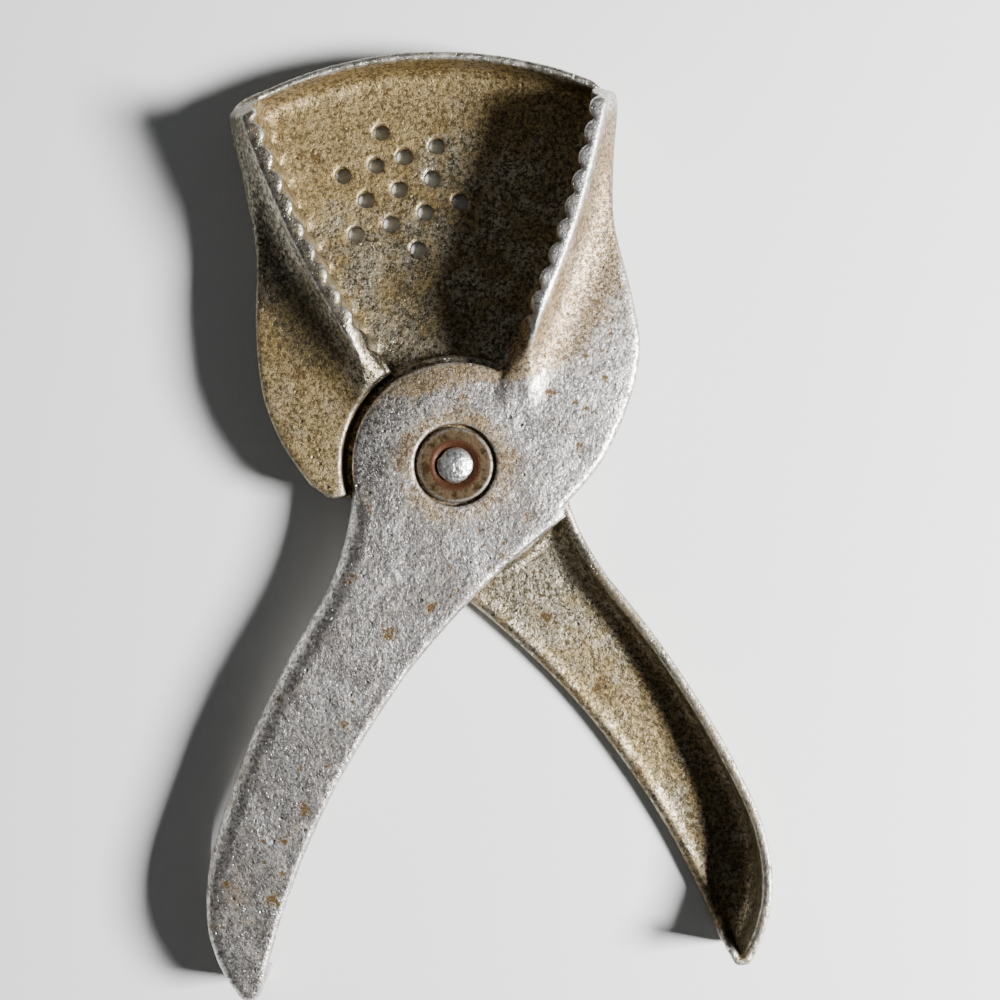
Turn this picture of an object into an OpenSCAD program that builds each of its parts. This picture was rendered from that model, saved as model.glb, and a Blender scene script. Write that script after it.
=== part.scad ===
// Hand nutcracker and wedge press: two cast levers crossed on one pin.
// The lower lever carries a drilled pan and the fixed jaw, the upper lever the moving jaw.
// Millimetres. The pin's axis is Z through the origin, the tool lies on z = 0, and +Y
// halves the angle between the open jaws.

/* [Hinge] */
// Radius of the round hub of the upper lever
hub_r = 20.8; // [19:0.1:21.4]
// Radius of the round seat that the hub turns in
seat_r = 22.8; // [22.4:0.1:23.4]
// Height of the plane where the two hubs meet
lap_z = 7.5; // [7:0.1:8]
// Gap between the two hubs
lap_gap = 0.1; // [0.05:0.05:0.2]
// Radius of the pin
pin_r = 3.175; // [3:0.005:3.5]
// Running clearance around the pin in the upper lever
pin_gap = 0.05; // [0.02:0.01:0.1]
// Radius of the round sinkings that hold the washers
sinking_r = 8.25; // [8:0.05:8.8]
// Depth of those sinkings
sinking_depth = 1.8; // [1.5:0.1:2.2]
// Radius of the washers
washer_r = 7.65; // [7:0.05:7.8]
// Thickness of the washers
washer_t = 1.5; // [1.2:0.1:1.6]
// Radius of the countersink at the washers' hole
countersink_r = 4.6; // [4.2:0.1:5]
// Height of the peened dome above the washer
dome_h = 1.5; // [1:0.1:2]

/* [Levers] */
// Height of the top of the upper handle and of both flanges
top_z = 15; // [14.5:0.1:16]
// Thickness of the handle plates and the flanges
plate_t = 3; // [2.5:0.1:3.2]
// Thickness of the wall along the outside of each handle
wall_t = 2; // [1.8:0.1:2.4]
// Depth of the wall next to the hub
wall_low = 7.2; // [6.5:0.1:7.3]
// Depth of the lip that stiffens the edge of each flange
lip_h = 3; // [2:0.5:4]
// Thickness of that lip
lip_t = 2.4; // [2:0.1:3]

/* [Jaws] */
// Height of the top of both jaws
jaw_z = 23; // [22:0.5:25]
// Radius of the gentle bow of the toothed faces
bow_r = 190; // [180:5:220]
// Width of the top of the jaws, from the tips of the ribs
jaw_w = 3.1; // [2.8:0.1:3.4]
// Width of the moving jaw at its foot
moving_foot = 4.6; // [4.2:0.1:5]
// Width of the fixed jaw at its foot
fixed_foot = 6.4; // [5.8:0.1:7]
// Distance between neighbouring ribs
rib_pitch = 4.9; // [4.5:0.1:5.2]
// Radius of each rib
rib_r = 2.7; // [2.6:0.1:3.2]
// Height of the ribs above the valleys between them
rib_h = 1.4; // [1:0.1:1.5]
// Distance from the pin to the top of the far end of the moving jaw
moving_reach = 76.8; // [75:0.1:77.2]
// Distance from the pin to the top of the far end of the fixed jaw
fixed_reach = 79.2; // [77:0.1:80]

/* [Pan] */
// Thickness of the pan's floor
floor_t = 2.6; // [2.2:0.1:3]
// Radius of the shallow dish of the floor
dish_r = 330; // [310:10:500]
// Height of the rim
rim_z = 12; // [11:0.1:12]
// Thickness of the rim
rim_t = 1.4; // [1.2:0.1:1.8]
// Outer radius of the rim
rim_r = 84.1; // [83.9:0.1:84.5]
// Radius of the rounded corner at the open side
open_corner = 4.6; // [4:0.1:5]
// Radius of the corner at the fixed jaw
shut_corner = 4; // [3:0.1:5]
// How far the open side stands outside the toothed face's bow
open_side = 3.7; // [3.4:0.1:4]
// Diameter of the drain holes
hole_d = 3.1; // [2.6:0.1:3.4]

/* [Hidden] */
$fn = 96;

// The pan and its rim
rim_centre = [-3.2, 0];
// Centres of the bows of the moving and the fixed toothed face
moving_bow = [-151.3, 118.3];
fixed_bow = [151.3, 118.3];
// The rim stops where the moving jaw's foot begins
foot_reach = 76.6;
stop_gap = 0.4;
// Where the drain holes lie: middle of the group, its turn, and its rows
hole_middle = [-7.5, 58.8];
hole_turn = 13.3;
hole_rows = [[12.3, [0]], [6.2, [-10.3, -3.1, 3.1, 10.3]], [0, [-7.3, 0, 7.3]],
             [-6.3, [-11.4, -3.8, 3.8, 11.4]], [-13.2, [0]]];
dish_middle = [-2, 54];
dish_step = 10;
// Underside of the moving jaw, clear of the dished floor
jaw_under = 5.6;

// Handle: the outside edge leaves the hub and runs as [radius, turn] arcs, then end_r, to the tip
edge_start = 176;
edge_arcs = [[58, -31.5], [190, 14.9], [41, 20.6]];
end_r = 30;
tip_r = 2.6;
// Handle: the inside edge is one arc around this centre, from the tip to inside the hub
inside_centre = [108, -148.4];
inside_r = 161.6;
inside_end = 128;
// How far the wall goes round the tip
tip_wall_turn = 70;
// The free edge of the wall drops over the handle's length
wall_drop_deg = 5.2;
wall_drop_from = 27;
wall_heading = -32;

// Outline of a flange, from the jaw's far end to the inside edge of the handle
flange_edge = [[35.8, 67.8], [36, 56], [36.4, 45], [37.4, 36], [38, 28.5], [37.9, 21.5],
               [36.8, 14.2], [34, 6.2], [29.4, -1.6], [23.6, -7.8], [15.5, -14.8],
               [7.6, -21.4], [1.2, -26.9], [-4.6, -31.4]];
// Corners of the flange inside the jaw, the hub and the root of the handle
flange_inside = [[-15, -36], [-21, -26], [-14, -8], [8, 17], [16, 22], [18, 28], [22.4, 36],
                 [29, 50], [34.6, 67.8]];
// The upper lever's flange swells more beside the hub and is narrower beside the jaw: [y, width]
flange_changes = [[20, 1.1], [50, -0.9]];
flange_change_length = 9;
// The lower lever's flange stops short of the upper handle
seat_flange_points = 9;
seat_flange_inside = [[26, -4.6], [21, -3.4], [10, 16], [14, 22], [18, 28], [22.4, 36],
                      [29, 50], [34.6, 67.8]];
seat_wall = 3;

function unit(a) = [cos(a), sin(a)];
// Point of a Catmull-Rom curve through b and c at t from 0 to 1
function between(a, b, c, d, t) =
    0.5 * (2 * b + (c - a) * t + (2 * a - 5 * b + 4 * c - d) * t * t
           + (3 * b - a - 3 * c + d) * t * t * t);
function smooth(p, steps = 5) = let(n = len(p) - 1)
    [for (i = [0:n - 1], s = [0:steps - 1])
        between(p[max(i - 1, 0)], p[i], p[i + 1], p[min(i + 2, n)], s / steps), p[n]];
// The same line moved to its right-hand side by d
function shifted(p, d) = let(n = len(p) - 1)
    [for (i = [0:n]) let(along = p[min(i + 1, n)] - p[max(i - 1, 0)])
        p[i] + d * [along[1], -along[0]] / norm(along)];
// Edge of the upper lever's flange
function upper_edge() = [for (p = flange_edge)
    [p[0] + swell(p[1], flange_changes[0]) + swell(p[1], flange_changes[1]), p[1]]];
function swell(y, change) = change[1] * exp(-pow((y - change[0]) / flange_change_length, 2));
function reversed(p) = [for (i = [len(p) - 1:-1:0]) p[i]];
function first(p, n) = [for (i = [0:n - 1]) p[i]];
// Where two circles cross, on the side of the line from a to b that side tells
function crossing(a, ra, b, rb, side) =
    let(d = norm(b - a), u = (b - a) / d, x = (d * d + ra * ra - rb * rb) / (2 * d),
        y = sqrt(ra * ra - x * x))
    a + x * u + side * y * [-u[1], u[0]];
// [point, direction] at the start of each arc of a run of [radius, turn] arcs, and at its end
function arc_starts(p, a, arcs, i = 0) = i == len(arcs) ? [[p, a]] :
    let(c = arc_centre([p, a], arcs[i]), b = a + arcs[i][1])
    concat([[p, a]], arc_starts(on_arc(c, arcs[i], b, 0), b, arcs, i + 1));
function arc_centre(start, arc) = start[0] + arc[0] * sign(arc[1]) * unit(start[1] + 90);
// Point of an arc where its direction is b, moved to the left-hand side by d
function on_arc(c, arc, b, d) = c - (arc[0] * sign(arc[1]) - d) * unit(b + 90);
// Points along an arc, moved in by d, without the last one
function arc_points(start, arc, d) = let(c = arc_centre(start, arc),
    n = max(3, ceil(abs(arc[1]) / (arc[0] > 100 ? 1.5 : arc[0] < 5 ? 12 : 4))))
    [for (i = [0:n - 1]) on_arc(c, arc, start[1] + arc[1] * i / n, d)];

// The handle's arcs from hub to tip: the last stretch turns until the round tip fits the inside edge
edge_begin = [hub_r * unit(edge_start), edge_start + 90];
last_start = arc_starts(edge_begin[0], edge_begin[1], edge_arcs)[3];
last_centre = arc_centre(last_start, [end_r, 1]);
tip_centre = crossing(last_centre, end_r - tip_r, inside_centre, inside_r + tip_r, -1);
to_tip = tip_centre - last_centre;
to_inside = inside_centre - tip_centre;
last_turn = (atan2(to_tip[1], to_tip[0]) - last_start[1] + 90 + 720) % 360;
tip_turn = (atan2(to_inside[1], to_inside[0]) + 90 - last_start[1] - last_turn + 720) % 360;
handle_arcs = concat(edge_arcs, [[end_r, last_turn]]);
arc_begins = arc_starts(edge_begin[0], edge_begin[1], handle_arcs);

// Outside edge of the handle, moved in by d, going round the tip by turn
function outside(d, turn) = concat(
    [for (i = [0:3]) each arc_points(arc_begins[i], handle_arcs[i], d)],
    arc_points(arc_begins[4], [tip_r, turn], d),
    [on_arc(tip_centre, [tip_r, turn], arc_begins[4][1] + turn, d)]);
function inside_edge() = let(from = atan2(to_inside[1], to_inside[0]) - 180 + 360)
    [for (t = [0.06:0.06:1]) inside_centre + inside_r * unit(from + (inside_end - from) * t)];

// Handle as it sits on the upper lever: plate uppermost, wall along its outside and round the tip
module handle() {
    translate([0, 0, top_z - plate_t]) linear_extrude(plate_t)
        polygon(concat([[0, 6]], outside(0, tip_turn), inside_edge()));
    difference() {
        linear_extrude(top_z)
            polygon(concat(outside(0, tip_wall_turn), reversed(outside(wall_t, tip_wall_turn))));
        rotate([0, 0, wall_heading]) translate([-60, -wall_drop_from, top_z - wall_low])
            rotate([wall_drop_deg, 0, 0]) translate([0, -110, -40]) cube([120, 150, 40]);
        rotate([0, 0, wall_heading]) translate([-60, -60, top_z - wall_low - 40])
            cube([120, 120, 40]);
    }
}

// Ribbed, bowed strip of a jaw, before its ends are shaped; foot is its width at the base
module jaw_strip(foot, low) {
    intersection() {
        translate(moving_bow) rotate([0, 0, -50])
            rotate_extrude(angle = 40, $fn = 720)
                polygon([[bow_r, low], [bow_r, jaw_z], [bow_r + jaw_w, jaw_z],
                         [bow_r + foot, top_z - 1], [bow_r + foot, low]]);
        translate([0, 0, low]) linear_extrude(jaw_z - low) translate(moving_bow) {
            difference() {
                circle(r = bow_r + foot, $fn = 720);
                circle(r = bow_r + rib_h, $fn = 720);
            }
            for (i = [0:12]) rotate(-33.2 + i * rib_pitch / bow_r * 180 / PI)
                translate([bow_r + rib_r, 0]) circle(r = rib_r, $fn = 48);
        }
    }
}

// Side view of a jaw: it ramps up from the hub and falls away steeply at the far end
module jaw_profile(near, reach, low, end) {
    rotate([0, 0, -23]) rotate([90, 0, 90]) translate([0, 0, -25])
        linear_extrude(60) polygon([[near, low], [near, top_z - 0.6], [near + 8.5, jaw_z],
                                    [reach, jaw_z], [end, rim_z], [end, low]]);
}

module moving_jaw() {
    difference() {
        intersection() {
            jaw_strip(moving_foot, jaw_under);
            jaw_profile(22, moving_reach, jaw_under, 81.6);
            // Below the rim's top the jaw stays inside the rim
            union() {
                cylinder(r = foot_reach, h = 40, $fn = 360);
                translate([-50, 0, rim_z + 0.4]) cube([150, 150, 40]);
            }
        }
        // Clear of the seat
        cylinder(r = seat_r + 0.4, h = lap_z + lap_gap / 2);
    }
}

module fixed_jaw() {
    mirror([1, 0, 0]) intersection() {
        jaw_strip(fixed_foot, 0);
        jaw_profile(20.5, fixed_reach, 0, 84.4);
        linear_extrude(40) mirror([1, 0]) pan_outline(0);
    }
}

// Rounded corner of the pan between the rim and the side that bows around middle
module pan_corner_cut(middle, side_r, r, side) {
    c = crossing(rim_centre, rim_r - r, middle, side_r - r, side);
    polygon([c, c + 9 * (c - rim_centre) / norm(c - rim_centre), c + [-9 * side, 9],
             c + 9 * (c - middle) / norm(c - middle)]);
}

module pan_corner_disc(middle, side_r, r, side, d) {
    translate(crossing(rim_centre, rim_r - r, middle, side_r - r, side))
        circle(r = r - d, $fn = 64);
}

// Plan of the pan, moved in from its edge by d; the two sides are bows like the jaws
module pan_outline(d) {
    open_r = bow_r + open_side;
    shut_r = bow_r + fixed_foot;
    difference() {
        intersection() {
            translate(rim_centre) circle(r = rim_r - d, $fn = 720);
            translate(moving_bow) circle(r = open_r - d, $fn = 720);
            translate(fixed_bow) circle(r = shut_r - d, $fn = 720);
            translate([-60, 8]) square([120, 90]);
        }
        pan_corner_cut(moving_bow, open_r, open_corner, -1);
        pan_corner_cut(fixed_bow, shut_r, shut_corner, 1);
    }
    pan_corner_disc(moving_bow, open_r, open_corner, -1, d);
    pan_corner_disc(fixed_bow, shut_r, shut_corner, 1, d);
}

// Everything above a shallow dish whose flat middle is at height z
module above_dish(z) {
    translate([dish_middle[0], dish_middle[1], 0]) rotate_extrude($fn = 120)
        polygon(concat([[0, 40], [0, z]],
            [for (x = [dish_step:dish_step:7 * dish_step])
                [x, z + (x * x - dish_step * dish_step) / (2 * dish_r)]],
            [[7 * dish_step, 40]]));
}

module pan() {
    difference() {
        intersection() {
            linear_extrude(rim_z) pan_outline(0);
            above_dish(0);
        }
        above_dish(floor_t);
        translate([hole_middle[0], hole_middle[1], -1]) rotate(hole_turn)
            for (row = hole_rows, x = row[1]) translate([x, row[0], 0])
                cylinder(d = hole_d, h = 20, $fn = 32);
    }
    // Rim, with a short return that the moving jaw's end lies against
    difference() {
        translate([0, 0, 2.6]) linear_extrude(rim_z - 2.6) difference() {
            pan_outline(0);
            pan_outline(rim_t);
        }
        translate([0, 0, -1]) cylinder(r = foot_reach + stop_gap, h = 20, $fn = 360);
    }
}

// Flange plate with the lip under its edge, as on the right-hand side
module flange(edge, inside) {
    curve = smooth(edge);
    translate([0, 0, top_z - plate_t]) linear_extrude(plate_t) polygon(concat(curve, inside));
    translate([0, 0, top_z - plate_t - lip_h]) linear_extrude(lip_h + 1)
        polygon(concat(curve, reversed(shifted(curve, lip_t))));
}

module lower_lever() {
    color("silver") difference() {
        union() {
            cylinder(r = seat_r, h = lap_z - lap_gap / 2);
            difference() {
                union() {
                    pan();
                    fixed_jaw();
                    mirror([1, 0, 0])
                        flange(first(flange_edge, seat_flange_points), seat_flange_inside);
                    intersection() {
                        cylinder(r = seat_r + seat_wall, h = top_z - 0.2);
                        linear_extrude(top_z)
                            polygon([[0, 0], [-40, -7.6], [-40, 30], [-30, 52]]);
                    }
                }
                translate([0, 0, -1]) cylinder(r = seat_r, h = 40);
            }
            translate([0, 0, top_z]) rotate([0, 180, 0]) handle();
        }
        translate([0, 0, -1]) cylinder(r = pin_r, h = 20, $fn = 64);
        translate([0, 0, -1]) cylinder(r = sinking_r, h = sinking_depth + 1);
    }
}

module upper_lever() {
    color("gainsboro") difference() {
        union() {
            translate([0, 0, lap_z + lap_gap / 2]) cylinder(r = hub_r, h = top_z - lap_z - lap_gap / 2);
            flange(upper_edge(), flange_inside);
            handle();
            moving_jaw();
        }
        translate([0, 0, -1]) cylinder(r = pin_r + pin_gap, h = 40, $fn = 64);
        translate([0, 0, top_z - sinking_depth]) cylinder(r = sinking_r, h = 10);
    }
}

// Outline of the pin's upper half, shaft and peened dome
module pivot_pin() {
    sit = sinking_depth - washer_t;
    low = 0;
    high = top_z - sit / 2;
    color("whitesmoke") rotate_extrude($fn = 64) polygon(concat(
        [[0, low]], [[pin_r + 0.3, low], [pin_r, low + 0.8], [pin_r, high - 0.7]],
        [for (a = [0:15:90]) [3.7 * cos(a), high - 0.4 + dome_h * sin(a)]]));
}

module washer() {
    color("tan") difference() {
        cylinder(r = washer_r, h = washer_t);
        translate([0, 0, -1]) cylinder(r = pin_r + 0.02, h = 5, $fn = 64);
        translate([0, 0, washer_t - 0.9])
            cylinder(r1 = pin_r + 0.02, r2 = countersink_r, h = 0.91, $fn = 64);
    }
}

module upper_washer() {
    translate([0, 0, top_z - sinking_depth + 0.05]) washer();
}

module lower_washer() {
    translate([0, 0, sinking_depth - 0.02]) mirror([0, 0, 1]) washer();
}

lower_lever();
upper_lever();
pivot_pin();
upper_washer();
lower_washer();
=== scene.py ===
"""Hand nutcracker: two sand-cast levers crossed on a rivet, with a drilled pan.

The castings are modelled as distance fields on a grid, so that walls, lips and jaws run
into each other with cast fillets and their edges are worn round. Lengths inside the
modelling classes are in millimetres; meshes are written in metres, in the frame's axes.
"""

from __future__ import annotations

import logging
import math
from dataclasses import dataclass, field
from enum import Enum

import bpy
import numpy as np
from mathutils import Matrix, Vector

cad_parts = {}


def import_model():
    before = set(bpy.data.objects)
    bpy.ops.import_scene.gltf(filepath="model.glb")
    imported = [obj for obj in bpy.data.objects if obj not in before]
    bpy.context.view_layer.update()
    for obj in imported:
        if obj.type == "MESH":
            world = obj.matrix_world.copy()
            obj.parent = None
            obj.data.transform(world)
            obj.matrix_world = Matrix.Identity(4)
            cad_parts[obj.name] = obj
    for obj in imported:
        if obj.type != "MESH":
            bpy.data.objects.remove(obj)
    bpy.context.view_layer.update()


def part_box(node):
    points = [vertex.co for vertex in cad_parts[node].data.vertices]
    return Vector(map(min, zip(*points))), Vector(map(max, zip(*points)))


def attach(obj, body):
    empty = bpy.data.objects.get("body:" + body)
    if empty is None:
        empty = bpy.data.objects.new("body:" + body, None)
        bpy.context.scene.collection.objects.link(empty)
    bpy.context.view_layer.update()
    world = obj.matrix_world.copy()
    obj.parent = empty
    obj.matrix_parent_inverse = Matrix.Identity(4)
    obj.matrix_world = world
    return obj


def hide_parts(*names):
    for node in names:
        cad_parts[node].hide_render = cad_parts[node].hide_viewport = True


MM = 0.001
LOG = logging.getLogger("nutcracker")


class Side(Enum):
    """Which lever a jaw or a handle belongs to."""

    UPPER = 1.0
    LOWER = -1.0


# ---------------------------------------------------------------- plan lines


def unit(degrees: float) -> np.ndarray:
    """Unit vector in the plan at an angle."""
    return np.array([math.cos(math.radians(degrees)), math.sin(math.radians(degrees))])


def circle_crossing(a: np.ndarray, ra: float, b: np.ndarray, rb: float, side: float) -> np.ndarray:
    """Where two circles cross.

    Args:
        a: Centre of the first circle.
        ra: Radius of the first circle.
        b: Centre of the second circle.
        rb: Radius of the second circle.
        side: +1 or -1, the side of the line from a to b.

    Returns:
        The crossing point.
    """
    span = float(np.linalg.norm(b - a))
    along = (b - a) / span
    x = (span * span + ra * ra - rb * rb) / (2 * span)
    y = math.sqrt(ra * ra - x * x)
    return a + x * along + side * y * np.array([-along[1], along[0]])


def smooth_line(points: list[tuple[float, float]], steps: int = 8) -> np.ndarray:
    """Catmull-Rom curve through the points.

    Args:
        points: Points that the curve passes through.
        steps: Steps between neighbouring points.

    Returns:
        The curve's points, one per row.
    """
    p = np.array(points, float)
    n = len(p) - 1
    rows = []
    for i in range(n):
        a, b, c, d = p[max(i - 1, 0)], p[i], p[i + 1], p[min(i + 2, n)]
        for s in range(steps):
            t = s / steps
            rows.append(
                0.5
                * (
                    2 * b
                    + (c - a) * t
                    + (2 * a - 5 * b + 4 * c - d) * t * t
                    + (3 * b - a - 3 * c + d) * t**3
                )
            )
    rows.append(p[n])
    return np.array(rows)


def line_distance(line: np.ndarray, x: np.ndarray, y: np.ndarray) -> np.ndarray:
    """Unsigned distance from plan points to an open line.

    Args:
        line: The line's points, one per row.
        x: Plan x of the points measured, any shape.
        y: Plan y of the points measured, same shape.

    Returns:
        The distances, in the shape of x.
    """
    best = np.full(x.shape, 1e9)
    for (ax, ay), (bx, by) in zip(line[:-1], line[1:], strict=True):
        dx, dy = bx - ax, by - ay
        length2 = max(dx * dx + dy * dy, 1e-12)
        t = np.clip(((x - ax) * dx + (y - ay) * dy) / length2, 0, 1)
        best = np.minimum(best, (x - ax - t * dx) ** 2 + (y - ay - t * dy) ** 2)
    return np.sqrt(best)


def inside_line(line: np.ndarray, x: np.ndarray, y: np.ndarray) -> np.ndarray:
    """True for the plan points inside the closed line."""
    inside = np.zeros(x.shape, bool)
    ends = np.roll(line, -1, axis=0)
    for (ax, ay), (bx, by) in zip(line, ends, strict=True):
        if ay == by:
            continue
        across = (ay > y) != (by > y)
        inside ^= across & (x < (bx - ax) * (y - ay) / (by - ay) + ax)
    return inside


def outline_distance(line: np.ndarray, x: np.ndarray, y: np.ndarray) -> np.ndarray:
    """Signed distance to a closed outline, negative inside."""
    closed = np.vstack([line, line[:1]])
    return line_distance(closed, x, y) * np.where(inside_line(line, x, y), -1.0, 1.0)


# ------------------------------------------------------------ distance fields


def blend_min(a: np.ndarray, b: np.ndarray, k: float) -> np.ndarray:
    """Union of two fields with a fillet about k wide."""
    h = np.maximum(k - np.abs(a - b), 0) / k
    return np.minimum(a, b) - h * h * (k / 4)


def blend_max(a: np.ndarray, b: np.ndarray, k: float) -> np.ndarray:
    """Intersection of two fields with an edge softened over about k."""
    return -blend_min(-a, -b, k)


def round_max(a: np.ndarray, b: np.ndarray, r: float) -> np.ndarray:
    """Intersection of two fields whose common edge is rounded to radius r."""
    return np.minimum(-r, np.maximum(a, b)) + np.hypot(np.maximum(a + r, 0), np.maximum(b + r, 0))


def ramp(value: np.ndarray, start: float, end: float) -> np.ndarray:
    """Straight ramp from 0 where the value is start to 1 where it is end."""
    return np.clip((value - start) / (end - start), 0, 1)


def fade(value: np.ndarray, start: float, end: float) -> np.ndarray:
    """Smooth step from 0 where the value is start to 1 where it is end."""
    t = ramp(value, start, end)
    return t * t * (3 - 2 * t)


def bell(value: np.ndarray, middle: float, width: float) -> np.ndarray:
    """Bell curve that is 1 at the middle and about a third one width away."""
    return np.exp(-(((value - middle) / width) ** 2))


@dataclass
class Grid:
    """Regular grid that a casting's field is sampled on, in millimetres."""

    low: tuple[float, float, float]
    high: tuple[float, float, float]
    step: float
    x: np.ndarray = field(init=False)
    y: np.ndarray = field(init=False)
    z: np.ndarray = field(init=False)

    def __post_init__(self) -> None:
        """Lays out the three axes so that they broadcast against each other."""
        axes = [
            np.arange(lo - 2 * self.step, hi + 2.5 * self.step, self.step, dtype=np.float32)
            for lo, hi in zip(self.low, self.high, strict=True)
        ]
        self.x = axes[0][:, None, None]
        self.y = axes[1][None, :, None]
        self.z = axes[2][None, None, :]

    @property
    def origin(self) -> np.ndarray:
        """Lowest corner of the grid."""
        return np.array([self.x[0, 0, 0], self.y[0, 0, 0], self.z[0, 0, 0]], float)

    def plan(self) -> tuple[np.ndarray, np.ndarray]:
        """Plan coordinates as two arrays of shape (nx, ny, 1)."""
        return np.broadcast_arrays(self.x, self.y)

    def uneven(self, period: float, seed: int) -> np.ndarray:
        """Smooth random values of about -1 to 1, the same on every run.

        Args:
            period: Distance between random values, in millimetres.
            seed: Seed of the random numbers.

        Returns:
            One value per grid point.
        """
        weights = []
        height = 2.2  # random heights up to this give a spline of about -1 to 1
        for axis in (self.x.ravel(), self.y.ravel(), self.z.ravel()):
            place = (axis - axis[0]) / period
            count = int(place[-1]) + 4
            w = np.zeros((len(axis), count), np.float32)
            base = place.astype(int)
            t = place - base
            rows = np.arange(len(axis))
            spline = (
                (1 - t) ** 3 / 6,
                (3 * t**3 - 6 * t**2 + 4) / 6,
                (-3 * t**3 + 3 * t**2 + 3 * t + 1) / 6,
                t**3 / 6,
            )
            for k, value in enumerate(spline):
                w[rows, base + k] = value
            weights.append(w)
        values = np.random.default_rng(seed).uniform(-height, height, [w.shape[1] for w in weights])
        values = values.astype(np.float32)
        values = np.tensordot(weights[0], values, (1, 0))
        values = np.einsum("jb,abc->ajc", weights[1], values, optimize=True)
        return np.einsum("kc,ajc->ajk", weights[2], values, optimize=True)

    def sample(self, values: np.ndarray, points: np.ndarray) -> np.ndarray:
        """Trilinear samples of a grid of values.

        Args:
            values: One value per grid point.
            points: Places to sample, one row each, in millimetres.

        Returns:
            One value per point.
        """
        place = (points - self.origin) / self.step
        place = np.clip(place, 0, np.array(values.shape) - 1.001)
        base = place.astype(int)
        t = place - base
        total = np.zeros(len(points))
        for corner in range(8):
            pick = [(corner >> k) & 1 for k in range(3)]
            share = np.ones(len(points))
            for k in range(3):
                share *= t[:, k] if pick[k] else 1 - t[:, k]
            total += share * values[base[:, 0] + pick[0], base[:, 1] + pick[1], base[:, 2] + pick[2]]
        return total


@dataclass
class Skin:
    """Closed quad mesh drawn round the inside of a distance field."""

    points: np.ndarray
    quads: np.ndarray

    @classmethod
    def of_field(cls, grid: Grid, values: np.ndarray) -> Skin:
        """Surface net of a field, pulled onto its zero surface.

        Args:
            grid: The grid that the field is sampled on.
            values: The field, negative inside.

        Returns:
            The mesh, in millimetres.
        """
        inside = values < 0
        corners = [((c >> 0) & 1, (c >> 1) & 1, (c >> 2) & 1) for c in range(8)]
        n = np.array(values.shape) - 1

        def cut(a: np.ndarray, c: tuple[int, int, int]) -> np.ndarray:
            """The grid of one corner of every cell."""
            return a[c[0] : c[0] + n[0], c[1] : c[1] + n[1], c[2] : c[2] + n[2]]

        count = sum(cut(inside, c).astype(np.int8) for c in corners)
        active = (count > 0) & (count < 8)
        cells = np.argwhere(active)
        at = np.stack(
            [values[cells[:, 0] + c[0], cells[:, 1] + c[1], cells[:, 2] + c[2]] for c in corners], 1
        )
        total, crossings = np.zeros((len(cells), 3)), np.zeros(len(cells))
        for a in range(8):
            for k in range(3):
                b = a | (1 << k)
                if b == a:
                    continue
                va, vb = at[:, a], at[:, b]
                crossed = (va < 0) != (vb < 0)
                t = np.where(crossed, va / np.where(crossed, va - vb, 1), 0)
                spot = np.tile(np.array(corners[a], float), (len(cells), 1))
                spot[:, k] = t
                total += spot * crossed[:, None]
                crossings += crossed
        points = grid.origin + (cells + total / crossings[:, None]) * grid.step
        index = np.full(active.shape, -1, np.int32)
        index[active] = np.arange(len(cells))
        quads = []
        for k in range(3):
            u, v = (k + 1) % 3, (k + 2) % 3
            low = [slice(1, -1)] * 3
            low[k] = slice(0, -1)
            high = list(low)
            high[k] = slice(1, None)
            starts, stops = inside[tuple(low)], inside[tuple(high)]
            edges = np.argwhere(starts != stops)
            outward = starts[tuple(edges.T)]
            base = edges + 1
            base[:, k] -= 1
            ring = []
            for du, dv in ((-1, -1), (0, -1), (0, 0), (-1, 0)):
                cell = base.copy()
                cell[:, u] += du
                cell[:, v] += dv
                ring.append(index[tuple(cell.T)])
            ring = np.stack(ring, 1)
            ring[~outward] = ring[~outward][:, ::-1]
            quads.append(ring)
        skin = cls(points, np.vstack(quads))
        skin.settle(grid, values)
        return skin

    def settle(self, grid: Grid, values: np.ndarray, rounds: int = 3) -> None:
        """Moves the points along the field's slope onto its zero surface.

        Args:
            grid: The grid that the field is sampled on.
            values: The field.
            rounds: How many steps to take.
        """
        least_slope2 = 0.25
        longest = 0.3 * grid.step
        slope = np.gradient(values, grid.step)
        for _ in range(rounds):
            here = grid.sample(values, self.points)
            g = np.stack([grid.sample(s, self.points) for s in slope], 1)
            size = np.maximum((g * g).sum(1), least_slope2)
            step = np.clip(here / size, -longest, longest)
            self.points -= g * step[:, None]


# ------------------------------------------------------------------- finishes


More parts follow.
